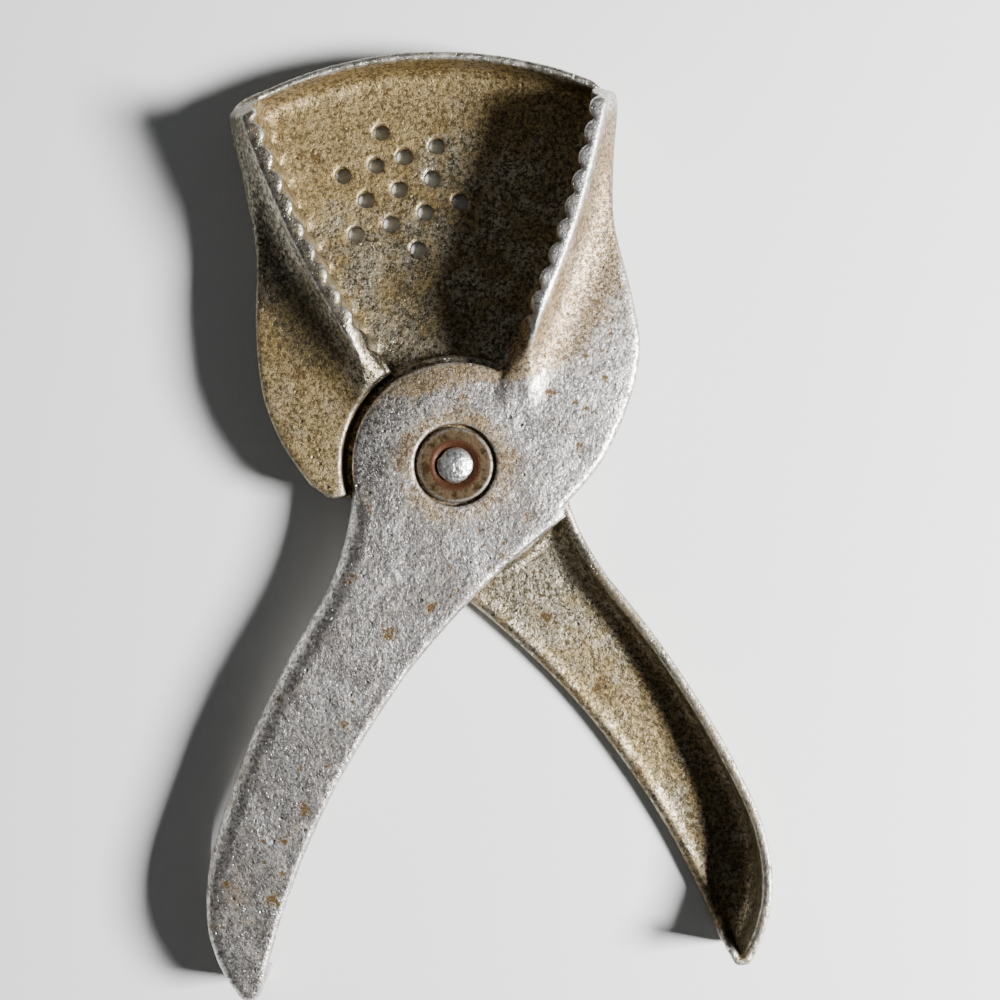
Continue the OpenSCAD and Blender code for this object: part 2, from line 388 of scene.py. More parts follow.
class Desk:
    """Wires one material's nodes; each method adds a node and returns its output socket."""

    def __init__(self, name: str) -> None:
        """Starts an empty material with a Principled shader.

        Args:
            name: The material's name.
        """
        self.material = bpy.data.materials.new(name)
        self.material.use_nodes = True
        self.tree = self.material.node_tree
        self.tree.nodes.clear()
        output = self.tree.nodes.new("ShaderNodeOutputMaterial")
        self.shader = self.tree.nodes.new("ShaderNodeBsdfPrincipled")
        self.tree.links.new(self.shader.outputs[0], output.inputs[0])
        place = self.tree.nodes.new("ShaderNodeTexCoord").outputs["Object"]
        scaled = self.tree.nodes.new("ShaderNodeVectorMath")
        scaled.operation = "SCALE"
        scaled.inputs["Scale"].default_value = 1 / MM
        self.tree.links.new(place, scaled.inputs[0])
        self.place = scaled.outputs[0]

    def _feed(self, socket: bpy.types.NodeSocket, value: object) -> None:
        """Links a socket to another socket, or sets its plain value."""
        if isinstance(value, bpy.types.NodeSocket):
            self.tree.links.new(value, socket)
        else:
            socket.default_value = value

    def noise(self, per_mm: float, detail: float, rough: float, seed: float) -> bpy.types.NodeSocket:
        """Noise of about 0 to 1 with a number of features per millimetre."""
        node = self.tree.nodes.new("ShaderNodeTexNoise")
        node.noise_dimensions = "4D"
        node.inputs["Scale"].default_value = per_mm
        node.inputs["Detail"].default_value = detail
        node.inputs["Roughness"].default_value = rough
        node.inputs["W"].default_value = seed
        self.tree.links.new(self.place, node.inputs["Vector"])
        return node.outputs["Fac"]

    def pits(self, per_mm: float, seed: float) -> bpy.types.NodeSocket:
        """Distance to scattered points, 0 at each."""
        node = self.tree.nodes.new("ShaderNodeTexVoronoi")
        node.voronoi_dimensions = "4D"
        node.inputs["Scale"].default_value = per_mm
        node.inputs["W"].default_value = seed
        self.tree.links.new(self.place, node.inputs["Vector"])
        return node.outputs["Distance"]

    def mark(self, name: str) -> bpy.types.NodeSocket:
        """A value that the mesh carries at its points."""
        node = self.tree.nodes.new("ShaderNodeAttribute")
        node.attribute_name = name
        return node.outputs["Fac"]

    def span(
        self, value: object, low: float, high: float, to_low: float = 0, to_high: float = 1
    ) -> bpy.types.NodeSocket:
        """Eases a value from one range into another, clipped at both ends."""
        node = self.tree.nodes.new("ShaderNodeMapRange")
        node.interpolation_type = "SMOOTHSTEP"
        ranges = {"From Min": low, "From Max": high, "To Min": to_low, "To Max": to_high}
        for key, number in ranges.items():
            node.inputs[key].default_value = number
        self._feed(node.inputs["Value"], value)
        return node.outputs["Result"]

    def maths(self, operation: str, a: object, b: object, clamp: bool = False) -> bpy.types.NodeSocket:
        """One step of arithmetic on two values."""
        node = self.tree.nodes.new("ShaderNodeMath")
        node.operation = operation
        node.use_clamp = clamp
        self._feed(node.inputs[0], a)
        self._feed(node.inputs[1], b)
        return node.outputs[0]

    def tint(self, share: object, a: object, b: object, how: str = "MIX") -> bpy.types.NodeSocket:
        """Mixes two colours by a share of 0 to 1."""
        node = self.tree.nodes.new("ShaderNodeMix")
        node.data_type = "RGBA"
        node.blend_type = how
        self._feed(node.inputs["Factor"], share)
        colours = [s for s in node.inputs if s.type == "RGBA"]
        self._feed(colours[0], a)
        self._feed(colours[1], b)
        return next(s for s in node.outputs if s.type == "RGBA")

    def relief(
        self, height: object, depth_mm: float, strength: float, under: object = None
    ) -> bpy.types.NodeSocket:
        """Small relief on the surface, on top of any other."""
        node = self.tree.nodes.new("ShaderNodeBump")
        node.inputs["Distance"].default_value = depth_mm * MM
        node.inputs["Strength"].default_value = strength
        self._feed(node.inputs["Height"], height)
        if under is not None:
            self.tree.links.new(under, node.inputs["Normal"])
        return node.outputs[0]

    def set(self, **sockets: object) -> None:
        """Feeds the shader's sockets by name, with _ for a space."""
        for name, value in sockets.items():
            self._feed(self.shader.inputs[name.replace("_", " ")], value)


Colour = tuple[float, float, float, float]
PIT_BLACK: Colour = (0.035, 0.03, 0.025, 1)
# Black of the painted shade that the castings' meshes mark
PAINTED_SHADE_BLACK: Colour = (0.022, 0.019, 0.012, 1)


@dataclass(frozen=True)
class CastAluminium:
    """Dull sand-cast aluminium: grain, pits, tarnish, brown spots, bright worn edges and painted shade.
    """

    name: str
    bright: Colour
    dull: Colour
    tarnish: Colour
    tarnish_dark: Colour
    spot: Colour
    edge: Colour
    tarnish_share: float
    roughness: float
    seed: float

    def material(self) -> bpy.types.Material:
        """Wires the finish, from the bare metal outwards.

        Returns:
            The material.
        """
        d = Desk(self.name)
        # Bare metal: sand grain between dull and bright, in clouds and patches
        grain = d.noise(1.25, 4, 0.72, self.seed)
        speck = d.noise(3.4, 3, 0.7, self.seed + 1)
        cloud = d.noise(0.11, 4, 0.6, self.seed + 2)
        patch = d.noise(0.35, 4, 0.65, self.seed + 3)
        sand = d.maths("ADD", d.maths("MULTIPLY", grain, 0.6), d.maths("MULTIPLY", speck, 0.4))
        light = d.span(sand, 0.44, 0.565)
        colour = d.tint(light, self.dull, self.bright)
        colour = d.tint(d.span(cloud, 0.38, 0.66, 0, 0.6), colour, self.dull)
        colour = d.tint(d.span(patch, 0.55, 0.7, 0, 0.5), colour, self.bright)

        # Tarnish, where the mesh says that the metal is stained
        grime = d.mark("grime")
        uneven = d.maths("ADD", d.maths("MULTIPLY", cloud, 1.5), d.maths("MULTIPLY", patch, 1.5))
        stain = d.maths("ADD", d.maths("MULTIPLY", grime, 1.15), self.tarnish_share)
        stain = d.span(d.maths("ADD", stain, d.maths("SUBTRACT", uneven, 1.5)), 0.05, 0.75)
        gold = d.tint(d.span(sand, 0.42, 0.6), self.tarnish_dark, self.tarnish)
        stain = d.maths("MULTIPLY", stain, d.span(speck, 0.3, 0.7, 1.0, 0.6))
        colour = d.tint(stain, colour, gold)

        # Brown spots and flecks with ragged edges, then fine dark dust
        fleck = d.span(d.noise(0.42, 3, 0.6, self.seed + 5), 0.58, 0.70)
        fleck = d.maths("MULTIPLY", fleck, d.span(patch, 0.4, 0.55))
        blot = d.maths("ADD", d.mark("spot"), d.maths("MULTIPLY", fleck, 0.85))
        ragged = d.span(patch, 0.3, 0.6, 0.6, 1.2)
        ragged = d.maths("MULTIPLY", ragged, d.span(sand, 0.35, 0.62, 1.3, 0.3))
        blot = d.span(d.maths("MULTIPLY", blot, ragged), 0.08, 0.7)
        colour = d.tint(blot, colour, self.spot)
        dust = d.span(d.noise(1.1, 3, 0.7, self.seed + 6), 0.56, 0.70, 0, 0.65)
        colour = d.tint(d.maths("MULTIPLY", dust, d.span(cloud, 0.35, 0.6)), colour, self.tarnish_dark)

        # Casting pits of two sizes
        hole = d.span(d.pits(0.52, self.seed + 7), 0.13, 0.24, 1, 0)
        hole = d.maths("MULTIPLY", hole, d.span(patch, 0.44, 0.54))
        fine = d.span(d.pits(1.3, self.seed + 8), 0.16, 0.30, 1, 0)
        fine = d.maths("MULTIPLY", fine, d.span(cloud, 0.40, 0.56))
        pit = d.maths("MAXIMUM", hole, d.maths("MULTIPLY", fine, 0.7))
        colour = d.tint(d.maths("MULTIPLY", pit, 0.8), colour, PIT_BLACK)

        # Painted shade, black in the hollows and on faces turned from the light, and bright metal on the
        # worn edges
        rubbed = d.span(d.noise(0.8, 4, 0.75, self.seed + 9), 0.36, 0.6, 0.1, 1)
        worn = d.maths("MULTIPLY", d.mark("wear"), rubbed)
        # Painted shade: the mesh's shade mark, a little broken up by the grain
        painted_shade = d.maths("MULTIPLY", d.mark("painted_shade"), d.span(sand, 0.35, 0.62, 0.95, 0.6))
        colour = d.tint(painted_shade, colour, PAINTED_SHADE_BLACK)
        colour = d.tint(d.maths("MULTIPLY", worn, 0.9), colour, self.edge)

        # Gloss and relief follow the same grain, stains and pits
        rough = d.maths("ADD", self.roughness, d.maths("MULTIPLY", stain, 0.1))
        rough = d.maths("ADD", rough, d.maths("MULTIPLY", d.maths("SUBTRACT", 0.5, grain), 0.5))
        rough = d.maths("SUBTRACT", rough, d.maths("MULTIPLY", worn, 0.08), clamp=True)
        metal = d.maths("SUBTRACT", 1.0, d.maths("MULTIPLY", d.maths("MAXIMUM", stain, blot), 0.45))

        bump = d.relief(d.noise(0.5, 3, 0.6, self.seed + 4), 0.45, 0.6)
        bump = d.relief(sand, 0.19, 1.0, bump)
        bump = d.relief(d.maths("SUBTRACT", 1.0, pit), 0.3, 0.8, bump)
        d.set(Base_Color=colour, Roughness=rough, Metallic=metal, Normal=bump)
        d.shader.inputs["Specular IOR Level"].default_value = 0.5
        return d.material


@dataclass(frozen=True)
class PeenedSteel:
    """Bright hammered end of the rivet, dull in its dents."""

    name: str = "peened_steel"
    bright: Colour = (0.90, 0.89, 0.88, 1)
    dull: Colour = (0.36, 0.35, 0.34, 1)
    dirt: Colour = (0.16, 0.10, 0.06, 1)
    roughness: float = 0.26

    def material(self) -> bpy.types.Material:
        """Wires the finish and returns the material."""
        d = Desk(self.name)
        dents = d.noise(1.1, 2, 0.5, 31)
        fine = d.noise(5.0, 3, 0.6, 32)
        colour = d.tint(d.span(dents, 0.3, 0.55), self.dull, self.bright)
        dirt = d.maths("MULTIPLY", d.mark("grime"), d.span(fine, 0.3, 0.6, 1, 0.5))
        colour = d.tint(dirt, colour, self.dirt)
        rough = d.maths("ADD", self.roughness, d.maths("MULTIPLY", fine, 0.2))
        bump = d.relief(fine, 0.08, 0.5, d.relief(dents, 0.5, 0.6))
        d.set(Base_Color=colour, Roughness=rough, Normal=bump)
        d.shader.inputs["Metallic"].default_value = 1.0
        return d.material


@dataclass(frozen=True)
class RustedSteel:
    """Grey-brown washer steel with red rust in its countersink."""

    name: str = "rusted_washer"
    steel: Colour = (0.15, 0.11, 0.065, 1)
    brown: Colour = (0.030, 0.018, 0.007, 1)
    rust: Colour = (0.042, 0.015, 0.006, 1)
    edge: Colour = (0.62, 0.60, 0.56, 1)

    def material(self) -> bpy.types.Material:
        """Wires the finish and returns the material."""
        d = Desk(self.name)
        broad = d.noise(0.5, 4, 0.65, 41)
        fine = d.noise(3.2, 4, 0.7, 42)
        colour = d.tint(d.span(broad, 0.36, 0.62), self.brown, self.steel)
        colour = d.tint(d.span(fine, 0.45, 0.7, 0, 0.6), colour, self.brown)
        rusty = d.maths("ADD", d.mark("grime"), d.span(broad, 0.5, 0.62, 0, 0.6), clamp=True)
        colour = d.tint(d.maths("MULTIPLY", rusty, d.span(fine, 0.3, 0.5, 0.55, 1)), colour, self.rust)
        worn = d.maths("MULTIPLY", d.mark("wear"), d.span(fine, 0.35, 0.6, 0.2, 0.9))
        worn = d.maths("MULTIPLY", worn, d.span(rusty, 0, 0.4, 1, 0))
        colour = d.tint(worn, colour, self.edge)
        rough = d.span(broad, 0.3, 0.7, 0.62, 0.42)
        metal = d.span(rusty, 0, 1, 0.9, 0.35)
        bump = d.relief(fine, 0.15, 0.6, d.relief(broad, 0.3, 0.3))
        d.set(Base_Color=colour, Roughness=rough, Metallic=metal, Normal=bump)
        d.shader.inputs["Specular IOR Level"].default_value = 0.15
        return d.material


# ------------------------------------------------------------------- castings

Corners = list[tuple[float, float]]
# (x, y, radius, depth of colour) of larger stains
Spots = tuple[tuple[float, float, float, float], ...]

# Outer edge of the right-hand flange, from beside the jaw's far end round to the handle
FLANGE_EDGE: Corners = [
    (35.8, 68.4), (36, 56), (36.4, 45), (37.4, 36), (38, 28.5), (37.9, 21.5), (36.8, 14.2),
    (34, 6.2), (29.4, -1.6), (23.6, -7.8), (15.5, -14.8), (7.6, -21.4), (1.2, -26.9), (-4.6, -31.4),
]
# Corners under the jaw and the hub that close the upper lever's flange
FLANGE_INSIDE: Corners = [
    (-15, -36), (-21, -26), (-14, -8), (8, 17), (16, 22), (18, 28), (22.4, 36), (29, 50), (34.6, 68.4),
]
# The lower lever's flange ends before the upper handle
SEAT_EDGE: Corners = FLANGE_EDGE[:9]
SEAT_INSIDE: Corners = [
    (26, -4.6), (21, -3.4), (10, 16), (14, 22), (18, 28), (22.4, 36), (29, 50), (34.6, 68.4),
]

# Each jaw's toothed face is an arc; this is the moving jaw's, and the fixed jaw's is its mirror image
BOW_CENTRE = (-151.3, 118.3)
BOW_R = 190.0


def bow_distance(x: np.ndarray, y: np.ndarray) -> np.ndarray:
    """Plan distance from the middle of the moving jaw's arc; -x gives the fixed jaw's."""
    return np.hypot(x - BOW_CENTRE[0], y - BOW_CENTRE[1])


def mesh_piece(
    name: str, points_mm: np.ndarray, faces: np.ndarray, node: str, body: str
) -> bpy.types.Object:
    """Makes a smooth-shaded piece that stands for a CAD node.

    Args:
        name: The piece's name.
        points_mm: Its points, in millimetres.
        faces: Its quads.
        node: The CAD node that it stands for; the piece is kept inside that node's box.
        body: The body that it rides on.

    Returns:
        The object.
    """
    low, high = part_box(node)
    points = np.clip(points_mm * MM, np.array(low), np.array(high))
    mesh = bpy.data.meshes.new(name)
    mesh.vertices.add(len(points))
    mesh.vertices.foreach_set("co", points.astype(np.float32).ravel())
    mesh.loops.add(faces.size)
    mesh.loops.foreach_set("vertex_index", faces.astype(np.int32).ravel())
    mesh.polygons.add(len(faces))
    mesh.polygons.foreach_set("loop_start", np.arange(0, faces.size, 4, dtype=np.int32))
    mesh.update(calc_edges=True)
    mesh.polygons.foreach_set("use_smooth", np.ones(len(faces), bool))
    mesh.validate()
    piece = bpy.data.objects.new(name, mesh)
    bpy.context.scene.collection.objects.link(piece)
    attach(piece, body)
    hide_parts(node)
    return piece


def put_mark(piece: bpy.types.Object, name: str, values: np.ndarray) -> None:
    """Stores a value of 0 to 1 at each point of a piece."""
    attribute = piece.data.attributes.new(name, "FLOAT", "POINT")
    attribute.data.foreach_set("value", np.clip(values, 0, 1).astype(np.float32))


@dataclass
class Handle:
    """Open channel-section handle: a plate with a wall along its outside edge."""

    hub_r: float = 20.8
    start: float = 176.0
    arcs: tuple[tuple[float, float], ...] = ((58, -31.5), (190, 14.9), (41, 20.6))
    end_r: float = 30.0
    tip_r: float = 2.6
    inside_centre: tuple[float, float] = (108.0, -148.4)
    inside_r: float = 161.6
    top: float = 15.0
    plate: float = 3.0
    wall: float = 2.1
    corner: float = 5.0
    corner_at_hub: float = 1.3
    corner_grows: tuple[float, float] = (-2.0, 24.0)
    corner_shrinks: tuple[float, float] = (84.0, 110.0)
    tip_share: float = 0.72
    fillet: float = 6.0
    wall_edge: float = 0.9
    shell_edge: float = 0.5
    inner_edge: float = 1.1
    bead: float = 0.55
    bead_inset: float = 1.7
    bead_width: float = 1.1
    wall_low: float = 7.2
    wall_drop: float = 5.2
    wall_drop_from: float = 27.0
    wall_heading: float = 32.0

    def outside(self) -> np.ndarray:
        """The outside edge in plan, from the hub round the tip, in 1 to 2 mm steps."""
        place, heading = self.hub_r * unit(self.start), self.start + 90
        centre_in = np.array(self.inside_centre)
        rows: list[np.ndarray] = []

        def run(radius: float, turn: float) -> None:
            """Adds one arc and moves on to its end."""
            nonlocal place, heading
            side = math.copysign(1.0, turn)
            centre = place + radius * side * unit(heading + 90)
            steps = max(4, int(abs(turn) / 180 * math.pi * radius / 1.2) + 1)
            for i in range(steps):
                rows.append(centre - radius * side * unit(heading + turn * i / steps + 90))
            place = centre - radius * side * unit(heading + turn + 90)
            heading += turn

        for radius, turn in self.arcs:
            run(radius, turn)
        centre = place + self.end_r * unit(heading + 90)
        tip = circle_crossing(centre, self.end_r - self.tip_r, centre_in, self.inside_r + self.tip_r, -1)
        to_tip = tip - centre
        run(self.end_r, (math.degrees(math.atan2(to_tip[1], to_tip[0])) - heading + 90 + 720) % 360)
        to_in = centre_in - tip
        run(self.tip_r, (math.degrees(math.atan2(to_in[1], to_in[0])) + 90 - heading + 720) % 360)
        rows.append(place)
        return np.array(rows)

    def field(self, grid: Grid, side: Side) -> np.ndarray:
        """The handle's field.

        Args:
            grid: The grid to sample on.
            side: UPPER has its plate uppermost; LOWER is the same turned over about Y.

        Returns:
            The field, negative inside.
        """
        px, py = grid.plan()
        x = px * side.value
        z = grid.z if side is Side.UPPER else self.top - grid.z
        edge = self.outside()
        # Corners beyond the handle's inner edge and in the hub close the outline
        closing = np.array([edge[-1] + 60 * unit(46), [30, -30], [10, 12]])
        within = inside_line(np.vstack([edge, closing]), x, py)
        inward = (line_distance(edge, x, py) * np.where(within, 1.0, -1.0)).astype(np.float32)
        cx, cy = self.inside_centre
        beyond = (self.inside_r - np.hypot(x - cx, py - cy)).astype(np.float32)
        heading = math.radians(self.wall_heading)
        along = (-(x * math.sin(heading) + py * math.cos(heading))).astype(np.float32)
        grown = (self.corner - self.corner_at_hub) * fade(along, *self.corner_grows)
        corner = self.corner_at_hub + grown * (1 - self.tip_share * fade(along, *self.corner_shrinks))
        outer = round_max(-inward, z - self.top, corner)
        drop = np.maximum(along - self.wall_drop_from, 0) * math.tan(math.radians(self.wall_drop))
        wall = round_max(inward - self.wall, self.top - self.wall_low - drop - z, self.wall_edge)
        bead = self.bead * bell(beyond, -self.bead_inset, self.bead_width)
        shell = blend_min(self.top - self.plate - bead - z, wall, self.fillet)
        return round_max(round_max(outer, shell, self.shell_edge), beyond, self.inner_edge)


@dataclass
class Jaw:
    """Ribbed, bowed jaw that stands up from a lever."""

    side: Side
    foot: float
    underside: float
    near: float
    reach: float
    end: float
    top: float = 23.0
    top_width: float = 3.1
    rib_pitch: float = 4.9
    rib_r: float = 2.7
    rib_h: float = 1.45
    rib_phase: float = 33.2
    lean: float = 23.0
    rim_top: float = 12.0
    flange_top: float = 15.0
    back_steepness: float = 0.94
    near_skew: float = 1.4
    near_sink: float = 0.6
    near_run: float = 9.5
    tooth_edge: float = 0.9
    back_edge: float = 0.7
    near_edge: float = 3.0
    far_edge: float = 1.5
    end_edge: float = 0.8
    under_edge: float = 0.6

    def along(self, x: np.ndarray, y: np.ndarray) -> np.ndarray:
        """Distance from the pin along the jaw."""
        a = math.radians(self.lean)
        return x * math.sin(a) + y * math.cos(a)

    def field(self, grid: Grid) -> np.ndarray:
        """The jaw's field, negative inside."""
        px, py = grid.plan()
        x, z = (px * self.side.value).astype(np.float32), grid.z
        out = bow_distance(x, py) - BOW_R
        turn = np.degrees(np.arctan2(py - BOW_CENTRE[1], x - BOW_CENTRE[0])) + self.rib_phase
        pitch = math.degrees(self.rib_pitch / BOW_R)
        off = (turn / pitch - np.round(turn / pitch)) * self.rib_pitch
        scallop = self.rib_r - np.sqrt(np.maximum(self.rib_r**2 - off**2, 0.05))
        face = np.minimum(scallop, self.rib_h) - out
        flare = ramp(z, self.top, self.flange_top - 1)
        back = (out - self.top_width - (self.foot - self.top_width) * flare) * self.back_steepness
        t = self.along(x, py)
        rise = np.array([-(self.top - self.flange_top + self.near_sink), self.near_run])
        rise = rise / np.linalg.norm(rise)
        skew = self.near_skew * (self.top_width - np.clip(out, 0, self.top_width))
        near = (t - self.near - skew) * rise[0] + (z - self.flange_top + self.near_sink) * rise[1]
        fall = np.array([self.top - self.rim_top, self.end - self.reach])
        fall = fall / np.linalg.norm(fall)
        far = (t - self.reach) * fall[0] + (z - self.top) * fall[1]
        over = z - self.top
        strip = round_max(blend_max(face, over, self.tooth_edge), back, self.back_edge)
        ends = np.maximum(blend_max(near, over, self.near_edge), blend_max(far, over, self.far_edge))
        return blend_max(blend_max(strip, ends, self.end_edge), self.underside - z, self.under_edge)

    def joined(self, grid: Grid, jaw: np.ndarray, other: np.ndarray, fillet: float) -> np.ndarray:
        """Joins the jaw to another field with a fillet on its outer side only.

        Args:
            grid: The grid that both fields are sampled on.
            jaw: The jaw's field.
            other: The field that it stands on.
            fillet: Width of the fillet.

        Returns:
            The joined field.
        """
        px, py = grid.plan()
        face = BOW_R + self.rib_h - bow_distance(px * self.side.value, py)
        joint = np.maximum(blend_min(other, jaw, fillet), face.astype(np.float32))
        return np.minimum(np.minimum(other, jaw), joint)


@dataclass
class Casting:
    """Shared making of a cast lever: field, skin, marks and finish."""

    node: str
    body: str
    slot: str
    finish: CastAluminium
    spots: Spots
    step: float = 0.53
    plate: float = 3.0
    top: float = 15.0
    lip: float = 3.0
    lip_width: float = 2.4
    lip_edge: float = 0.8
    lip_fillet: float = 2.5
    flange_edge: float = 1.3
    under_edge: float = 0.6
    lap: float = 7.5
    half_gap: float = 0.05
    pin_r: float = 3.2
    sinking_r: float = 8.25
    sinking: float = 1.8
    waves: float = 0.10
    wave_length: float = 9.0
    grit: float = 0.06
    grit_length: float = 2.6

    def flange(self, grid: Grid, edge: Corners, inside: Corners, mirrored: bool) -> np.ndarray:
        """Flange plate with the lip under its outer edge.

        Args:
            grid: The grid to sample on.
            edge: Points of the outer edge.
            inside: Corners under the jaw and hub.
            mirrored: True for the left-hand flange.

        Returns:
            The field, negative inside.
        """
        px, py = grid.plan()
        x, z = (-px if mirrored else px), grid.z
        curve = smooth_line(edge)
        inside_it = outline_distance(np.vstack([curve, np.array(inside)]), x, py).astype(np.float32)
        near_edge = line_distance(curve, x, py).astype(np.float32)
        lip_end = self.top - self.plate - self.lip
        lip = round_max(near_edge - self.lip_width, lip_end - z, self.lip_edge)
        under = blend_min(self.top - self.plate - z, lip, self.lip_fillet)
        return round_max(round_max(inside_it, z - self.top, self.flange_edge), under, self.under_edge)

    def field(self, grid: Grid) -> np.ndarray:
        """The casting's field; each lever gives its own."""
        raise NotImplementedError

    def marks(self, points: np.ndarray) -> tuple[np.ndarray, np.ndarray]:
        """How stained each point is and how much painted shade it gets; each lever gives its own."""
        raise NotImplementedError

    def build(self) -> bpy.types.Object:
        """Casts the lever.

        Returns:
            The piece, dressed and riding on its body.
        """
        low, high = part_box(self.node)
        grid = Grid(tuple(np.array(low) / MM), tuple(np.array(high) / MM), self.step)
        values = self.field(grid).astype(np.float32)
        # The faces that meet at the lap and round the pin stay true
        radius = np.hypot(grid.x, grid.y)
        free = fade(np.abs(grid.z - self.lap), 0.5, 2.5) * fade(radius, 9, 12)
        free = np.maximum(free, fade(radius, 24, 28)).astype(np.float32)
        seed = int(self.finish.seed)
        waves = self.waves * grid.uneven(self.wave_length, seed)
        values += (waves + self.grit * grid.uneven(self.grit_length, seed + 1)) * free
        skin = Skin.of_field(grid, values)
        name = self.node + "_casting"
        piece = mesh_piece(name, skin.points, skin.quads, self.node, self.body)
        # A blurred field is above zero on ridges and below it in hollows
        blurred = self._blur(values, max(1, round(1.0 / self.step)))
        wide = self._blur(blurred, max(1, round(2.5 / self.step)))
        ridge = grid.sample(blurred, skin.points)
        crest = 0.18 * fade(skin.points[:, 2], 21.2, 22.4)
        put_mark(piece, "wear", ramp(ridge, 0.17, 0.5) + crest)
        hollow = -grid.sample(wide, skin.points)
        grime, painted_shade = self.marks(skin.points)
        # Black painted shade in the hollows, added to each lever's own painted shade; the tarnish in the
        # hollows below is the metal's own
        put_mark(piece, "painted_shade", painted_shade + np.minimum(ramp(hollow, 0.6, 2.2), 0.8))
        put_mark(piece, "grime", grime + 0.35 * np.clip(hollow, 0, 1))
        blots = np.zeros(len(skin.points))
        for x, y, r, depth in self.spots:
            away = np.hypot(skin.points[:, 0] - x, skin.points[:, 1] - y)
            blots = np.maximum(blots, depth * np.exp(-((away / r) ** 2) * 1.4))
        put_mark(piece, "spot", blots)
        piece.data.materials.append(self.finish.material())
        return piece

    @staticmethod
    def _blur(values: np.ndarray, reach: int) -> np.ndarray:
        """Box blur of a field over reach grid steps each way."""
        width = 2 * reach + 1
        for axis in range(3):
            before = np.take(values, [0] * (reach + 1), axis)
            after = np.take(values, [-1] * reach, axis)
            padded = np.concatenate([before, values, after], axis)
            total = np.cumsum(padded, axis=axis, dtype=np.float64)
            count = values.shape[axis]
            ends = np.take(total, range(width, width + count), axis)
            starts = np.take(total, range(count), axis)
            values = ((ends - starts) / width).astype(np.float32)
        return values


